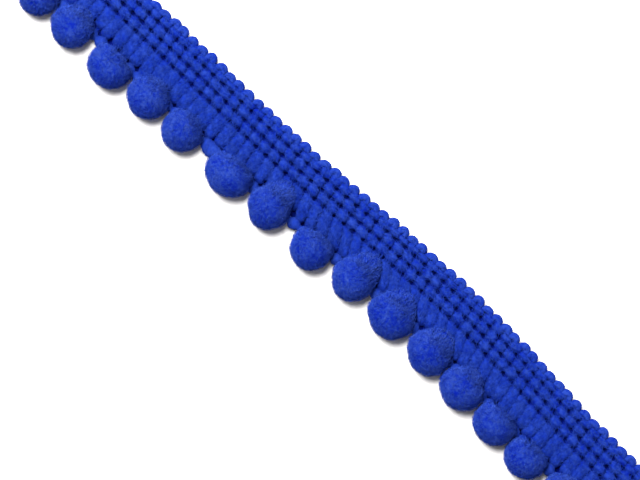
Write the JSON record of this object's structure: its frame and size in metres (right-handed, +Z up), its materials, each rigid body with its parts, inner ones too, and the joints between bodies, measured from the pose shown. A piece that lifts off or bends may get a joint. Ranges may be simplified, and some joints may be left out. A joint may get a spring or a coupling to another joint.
{
  "type": "pompom fringe trim",
  "caption": "Knitted heading with a scalloped selvedge, rows of round stitches and a band of finger loops, edged with clipped pompoms on a knobbed chain.",
  "frame": {"origin": "middle of the whole trim, on the surface that it lies on", "axes": "+X along the trim, +Y towards its scalloped selvedge with the pompoms hanging towards -Y, +Z up out of its face"},
  "size_m": [0.1252, 0.0172, 0.0058],
  "materials": {
    "heading_yarn": "matte bulky yarn, royal blue, soft and slightly hairy",
    "chain_yarn": "matte bulky yarn, royal blue",
    "pompom_pile": "dense clipped pile, royal blue, matte and velvety"
  },
  "bodies": {
    "root": {"heading": "heading_yarn", "tie_chain": "chain_yarn", "pompom_01": "pompom_pile", "pompom_02": "pompom_pile", "pompom_03": "pompom_pile", "pompom_04": "pompom_pile", "pompom_05": "pompom_pile", "pompom_06": "pompom_pile", "pompom_07": "pompom_pile", "pompom_08": "pompom_pile", "pompom_09": "pompom_pile", "pompom_10": "pompom_pile", "pompom_11": "pompom_pile", "pompom_12": "pompom_pile", "pompom_13": "pompom_pile", "pompom_14": "pompom_pile", "pompom_15": "pompom_pile", "pompom_16": "pompom_pile"}
  },
  "joints": []
}
